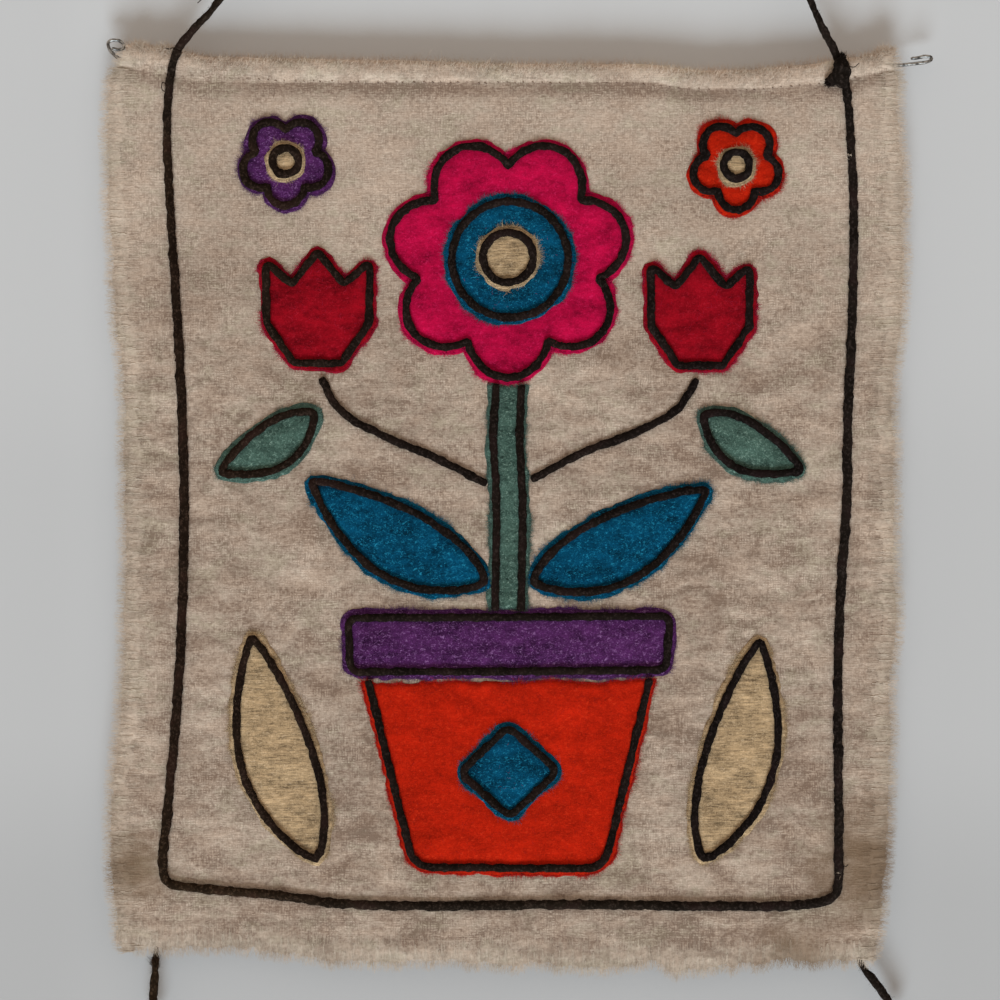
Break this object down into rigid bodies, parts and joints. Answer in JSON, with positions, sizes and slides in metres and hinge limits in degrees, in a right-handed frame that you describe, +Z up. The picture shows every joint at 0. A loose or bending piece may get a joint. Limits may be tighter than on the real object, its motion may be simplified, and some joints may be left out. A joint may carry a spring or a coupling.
{
  "type": "applique wall hanging on a wire rod",
  "caption": "Frayed wool wall hanging on a wire in its top hem, with yarn-outlined wool patches of a potted flower and a yarn frame that rises as its hanging cord.",
  "frame": {"origin": "the point on the nail where the small loop at the top of the hanging cord rests", "axes": "+Z up, along the hanging's longest side; the front faces -Y and the wall is on the +Y side; +X to the right as seen from the front"},
  "size_m": [0.4166, 0.0166, 0.7052],
  "materials": {
    "ground_wool": "undyed hand-woven wool, matt, slightly blotched",
    "yarn": "thick felted near-black wool yarn",
    "wire": "plain bent steel wire",
    "pink_wool": "bright pink felted wool",
    "red_wool": "dark red felted wool",
    "orange_wool": "red-orange felted wool",
    "teal_wool": "heathered teal wool",
    "purple_wool": "heathered purple wool",
    "cream_wool": "streaked cream wool",
    "green_wool": "heathered grey-green wool"
  },
  "bodies": {
    "root": {"ground_cloth": "ground_wool", "fringe_left": "ground_wool", "fringe_right": "ground_wool", "fringe_bottom": "ground_wool", "hem_wire": "wire", "border_yarn": "yarn", "cord_left": "yarn", "cord_right": "yarn", "loop_knot": "yarn", "hem_knot": "yarn", "tail_left": "yarn", "tail_left_knot": "yarn", "tail_right": "yarn", "tail_right_knot": "yarn", "patch_flower": "pink_wool", "line_flower": "yarn", "patch_disc": "teal_wool", "line_disc": "yarn", "patch_centre": "cream_wool", "line_centre": "yarn", "patch_stem": "green_wool", "line_stem_left": "yarn", "line_stem_right": "yarn", "patch_rim": "purple_wool", "line_rim": "yarn", "patch_pot": "orange_wool", "line_pot": "yarn", "patch_diamond": "teal_wool", "line_diamond": "yarn", "patch_leaf_left": "teal_wool", "line_leaf_left": "yarn", "patch_leaf_right": "teal_wool", "line_leaf_right": "yarn", "patch_sprig_left": "green_wool", "line_sprig_left": "yarn", "patch_sprig_right": "green_wool", "line_sprig_right": "yarn", "patch_side_leaf_left": "cream_wool", "line_side_leaf_left": "yarn", "patch_side_leaf_right": "cream_wool", "line_side_leaf_right": "yarn", "line_side_stem_left": "yarn", "line_side_stem_right": "yarn", "patch_tulip_left": "red_wool", "line_tulip_left": "yarn", "patch_tulip_right": "red_wool", "line_tulip_right": "yarn", "patch_blossom_left": "purple_wool", "line_blossom_left": "yarn", "patch_blossom_left_eye": "cream_wool", "line_blossom_left_eye": "yarn", "patch_blossom_right": "orange_wool", "line_blossom_right": "yarn", "patch_blossom_right_eye": "cream_wool", "line_blossom_right_eye": "yarn"}
  },
  "joints": []
}
